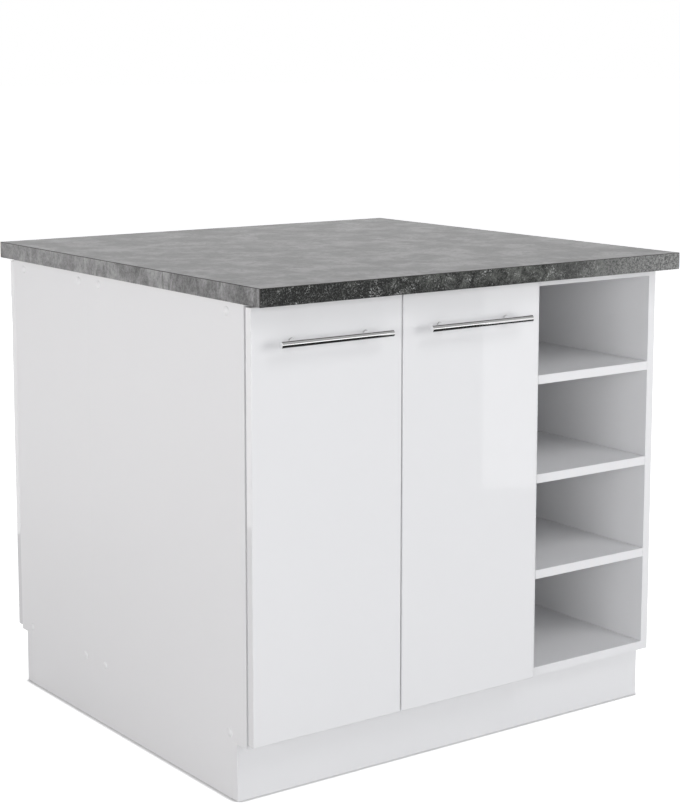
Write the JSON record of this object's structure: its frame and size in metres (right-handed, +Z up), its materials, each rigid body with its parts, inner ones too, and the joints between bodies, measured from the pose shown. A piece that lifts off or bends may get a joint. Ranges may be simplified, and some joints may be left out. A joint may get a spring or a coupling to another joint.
{
  "type": "kitchen island unit",
  "caption": "Free-standing kitchen island: gloss-fronted cabinets with bar handles, an open shelf column and a thick square worktop on recessed plinths.",
  "frame": {"origin": "floor level, under the centre of the overall box", "axes": "+X to the right seen from the front, +Y from the front doors to the rear doors, +Z up"},
  "size_m": [0.91, 0.9046, 0.852],
  "materials": {
    "worktop_laminate": "matt stone-effect laminate on chipboard",
    "carcass_board": "satin white melamine-faced chipboard",
    "gloss_front": "high-gloss white foil on fibreboard",
    "thin_back": "white-faced hardboard",
    "plinth_board": "satin white melamine-faced chipboard",
    "handle_steel": "polished bar",
    "hinge_steel": "nickel-plated pressed steel"
  },
  "bodies": {
    "carcass": {"worktop": "worktop_laminate", "side_panel_front_left": "carcass_board", "side_panel_rear_left": "carcass_board", "side_panel_front_right": "carcass_board", "side_panel_rear_right": "carcass_board", "door_unit_inner_side": "carcass_board", "shelf_unit_inner_side": "carcass_board", "rear_divider": "carcass_board", "door_unit_bottom": "carcass_board", "shelf_unit_bottom": "carcass_board", "rear_unit_bottom": "carcass_board", "shelf_unit_top": "carcass_board", "door_unit_front_rail": "carcass_board", "door_unit_back_rail": "carcass_board", "rear_unit_inner_rail": "carcass_board", "rear_unit_outer_rail": "carcass_board", "door_unit_back": "thin_back", "shelf_unit_back": "thin_back", "rear_unit_back": "thin_back", "door_unit_shelf": "carcass_board", "open_shelf_1": "carcass_board", "open_shelf_2": "carcass_board", "open_shelf_3": "carcass_board", "rear_shelf_wide": "carcass_board", "rear_shelf_narrow": "carcass_board", "plinth_door_unit": "plinth_board", "plinth_shelf_unit": "plinth_board", "plinth_rear": "plinth_board", "front_left_hinge_arm_lower": "hinge_steel", "front_left_hinge_arm_upper": "hinge_steel", "front_right_hinge_arm_lower": "hinge_steel", "front_right_hinge_arm_upper": "hinge_steel", "rear_left_hinge_arm_lower": "hinge_steel", "rear_left_hinge_arm_upper": "hinge_steel", "rear_middle_hinge_arm_lower": "hinge_steel", "rear_middle_hinge_arm_upper": "hinge_steel", "rear_right_hinge_arm_lower": "hinge_steel", "rear_right_hinge_arm_upper": "hinge_steel"},
    "front_left_leaf": {"front_left_door": "gloss_front", "front_left_handle": "handle_steel", "front_left_hinge_cup_lower": "hinge_steel", "front_left_hinge_cup_upper": "hinge_steel"},
    "front_right_leaf": {"front_right_door": "gloss_front", "front_right_handle": "handle_steel", "front_right_hinge_cup_lower": "hinge_steel", "front_right_hinge_cup_upper": "hinge_steel"},
    "rear_left_leaf": {"rear_left_door": "gloss_front", "rear_left_handle": "handle_steel", "rear_left_hinge_cup_lower": "hinge_steel", "rear_left_hinge_cup_upper": "hinge_steel"},
    "rear_middle_leaf": {"rear_middle_door": "gloss_front", "rear_middle_handle": "handle_steel", "rear_middle_hinge_cup_lower": "hinge_steel", "rear_middle_hinge_cup_upper": "hinge_steel"},
    "rear_right_leaf": {"rear_right_door": "gloss_front", "rear_right_handle": "handle_steel", "rear_right_hinge_cup_lower": "hinge_steel", "rear_right_hinge_cup_upper": "hinge_steel"}
  },
  "joints": [
    {"name": "front_left_door_hinge", "type": "hinge", "parent": "carcass", "child": "front_left_leaf", "pos_m": [-0.4485, -0.41575, 0.461], "axis": [0, 0, -1], "range_deg": [0, 105]},
    {"name": "front_right_door_hinge", "type": "hinge", "parent": "carcass", "child": "front_right_leaf", "pos_m": [0.1485, -0.41575, 0.461], "axis": [0, 0, 1], "range_deg": [0, 105]},
    {"name": "rear_left_door_hinge", "type": "hinge", "parent": "carcass", "child": "rear_left_leaf", "pos_m": [-0.4485, 0.42025, 0.461], "axis": [0, 0, 1], "range_deg": [0, 105]},
    {"name": "rear_middle_door_hinge", "type": "hinge", "parent": "carcass", "child": "rear_middle_leaf", "pos_m": [0.1485, 0.42025, 0.461], "axis": [0, 0, -1], "range_deg": [0, 95]},
    {"name": "rear_right_door_hinge", "type": "hinge", "parent": "carcass", "child": "rear_right_leaf", "pos_m": [0.4485, 0.42025, 0.461], "axis": [0, 0, -1], "range_deg": [0, 105]}
  ]
}
